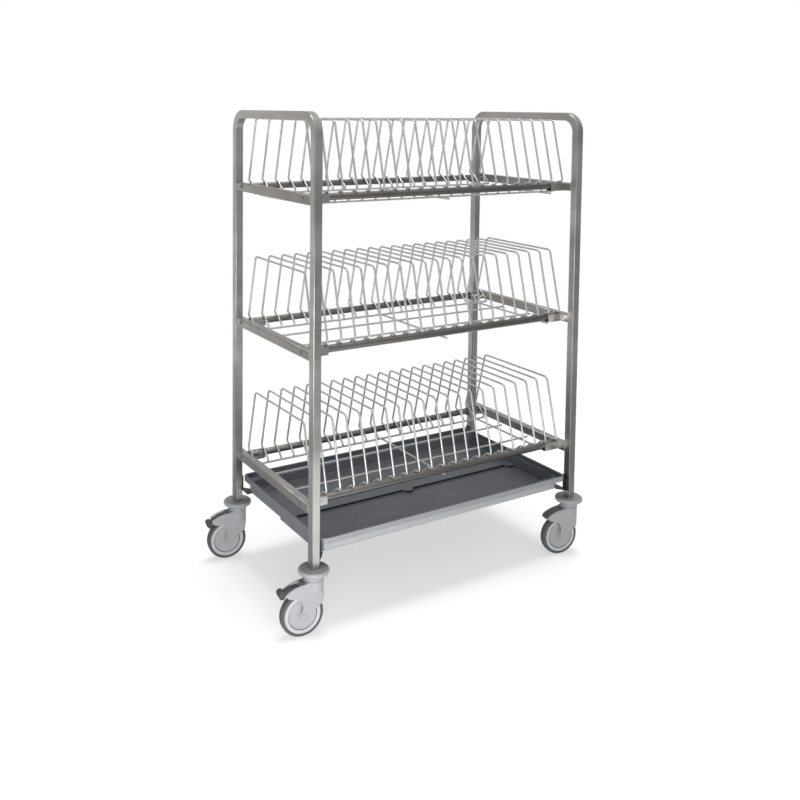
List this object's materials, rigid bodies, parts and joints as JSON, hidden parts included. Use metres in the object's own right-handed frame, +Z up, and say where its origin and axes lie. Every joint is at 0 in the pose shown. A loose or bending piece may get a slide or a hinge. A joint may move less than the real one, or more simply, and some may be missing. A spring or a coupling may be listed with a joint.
{
  "type": "tray rack trolley",
  "caption": "Open trolley with tiers of upright wire dividers for standing trays on edge, a pull-out drip tray below and swivel castors with foot brakes.",
  "frame": {"origin": "middle of the plan outline, on the floor under the wheels", "axes": "+X along the trolley's length to the right, -Y towards its front, +Z up"},
  "size_m": [1.0826, 0.586, 1.41],
  "materials": {
    "stainless_steel": "brushed stainless steel",
    "coated_wire": "steel wire, pale grey coating with a soft shine",
    "tray_plastic": "moulded dark grey plastic, satin",
    "castor_plastic": "moulded light grey plastic",
    "tyre": "solid dark grey rubber",
    "pedal_plastic": "moulded black plastic",
    "zinc_steel": "bright zinc-plated steel"
  },
  "bodies": {
    "frame": {"left_hoop": "stainless_steel", "right_hoop": "stainless_steel", "left_end_rail_lower": "stainless_steel", "left_end_rail_middle": "stainless_steel", "left_end_rail_upper": "stainless_steel", "right_end_rail_lower": "stainless_steel", "right_end_rail_middle": "stainless_steel", "right_end_rail_upper": "stainless_steel", "front_rail_lower": "stainless_steel", "front_rail_middle": "stainless_steel", "front_rail_upper": "stainless_steel", "rear_rail_lower": "stainless_steel", "rear_rail_middle": "stainless_steel", "rear_rail_upper": "stainless_steel", "rail_cradles": "stainless_steel", "rail_bolts": "zinc_steel", "tray_supports": "stainless_steel", "castor_stems": "zinc_steel", "castor_bumpers": "castor_plastic"},
    "lower_rack": {"lower_rack_loops": "coated_wire", "lower_rack_long_wires": "coated_wire", "lower_rack_cross_wires": "coated_wire"},
    "middle_rack": {"middle_rack_loops": "coated_wire", "middle_rack_long_wires": "coated_wire", "middle_rack_cross_wires": "coated_wire"},
    "upper_rack": {"upper_rack_loops": "coated_wire", "upper_rack_long_wires": "coated_wire", "upper_rack_cross_wires": "coated_wire"},
    "drip_tray": {"drip_tray": "tray_plastic"},
    "front_left_fork": {"front_left_castor_fork": "castor_plastic", "front_left_castor_axle": "zinc_steel"},
    "front_left_wheel": {"front_left_castor_wheel": "castor_plastic", "front_left_castor_tyre": "tyre"},
    "front_left_pedal": {"front_left_brake_pedal": "pedal_plastic"},
    "front_right_fork": {"front_right_castor_fork": "castor_plastic", "front_right_castor_axle": "zinc_steel"},
    "front_right_wheel": {"front_right_castor_wheel": "castor_plastic", "front_right_castor_tyre": "tyre"},
    "rear_left_fork": {"rear_left_castor_fork": "castor_plastic", "rear_left_castor_axle": "zinc_steel"},
    "rear_left_wheel": {"rear_left_castor_wheel": "castor_plastic", "rear_left_castor_tyre": "tyre"},
    "rear_left_pedal": {"rear_left_brake_pedal": "pedal_plastic"},
    "rear_right_fork": {"rear_right_castor_fork": "castor_plastic", "rear_right_castor_axle": "zinc_steel"},
    "rear_right_wheel": {"rear_right_castor_wheel": "castor_plastic", "rear_right_castor_tyre": "tyre"}
  },
  "joints": [
    {"name": "lower_rack_lift", "type": "slide", "parent": "frame", "child": "lower_rack", "axis": [0, 0, 1], "range_m": [0, 0.165]},
    {"name": "middle_rack_lift", "type": "slide", "parent": "frame", "child": "middle_rack", "axis": [0, 0, 1], "range_m": [0, 0.165]},
    {"name": "upper_rack_lift", "type": "slide", "parent": "frame", "child": "upper_rack", "axis": [0, 0, 1], "range_m": [0, 0.25]},
    {"name": "drip_tray_slide", "type": "slide", "parent": "frame", "child": "drip_tray", "axis": [0, -1, 0], "range_m": [0, 0.4]},
    {"name": "front_left_swivel", "type": "hinge", "parent": "frame", "child": "front_left_fork", "pos_m": [-0.43672, -0.25, 0.149], "axis": [0, 0, 1], "continuous": true},
    {"name": "front_left_wheel_spin", "type": "hinge", "parent": "front_left_fork", "child": "front_left_wheel", "pos_m": [-0.47195, -0.24567, 0.061], "axis": [0.1219, 0.9925, 0], "continuous": true},
    {"name": "front_left_brake", "type": "hinge", "parent": "front_left_fork", "child": "front_left_pedal", "pos_m": [-0.48635, -0.24391, 0.134], "axis": [-0.1219, -0.9925, 0], "range_deg": [0, 13]},
    {"name": "front_right_swivel", "type": "hinge", "parent": "frame", "child": "front_right_fork", "pos_m": [0.49828, -0.25, 0.149], "axis": [0, 0, 1], "continuous": true},
    {"name": "front_right_wheel_spin", "type": "hinge", "parent": "front_right_fork", "child": "front_right_wheel", "pos_m": [0.46343, -0.24323, 0.061], "axis": [0.1908, 0.9816, 0], "continuous": true},
    {"name": "rear_left_swivel", "type": "hinge", "parent": "frame", "child": "rear_left_fork", "pos_m": [-0.43672, 0.25, 0.149], "axis": [0, 0, 1], "continuous": true},
    {"name": "rear_left_wheel_spin", "type": "hinge", "parent": "rear_left_fork", "child": "rear_left_wheel", "pos_m": [-0.47168, 0.25616, 0.061], "axis": [0.1736, 0.9848, 0], "continuous": true},
    {"name": "rear_left_brake", "type": "hinge", "parent": "rear_left_fork", "child": "rear_left_pedal", "pos_m": [-0.48596, 0.25868, 0.134], "axis": [-0.1736, -0.9848, 0], "range_deg": [-13, 0]},
    {"name": "rear_right_swivel", "type": "hinge", "parent": "frame", "child": "rear_right_fork", "pos_m": [0.49828, 0.25, 0.149], "axis": [0, 0, 1], "continuous": true},
    {"name": "rear_right_wheel_spin", "type": "hinge", "parent": "rear_right_fork", "child": "rear_right_wheel", "pos_m": [0.46298, 0.25371, 0.061], "axis": [0.1045, 0.9945, 0], "continuous": true}
  ]
}
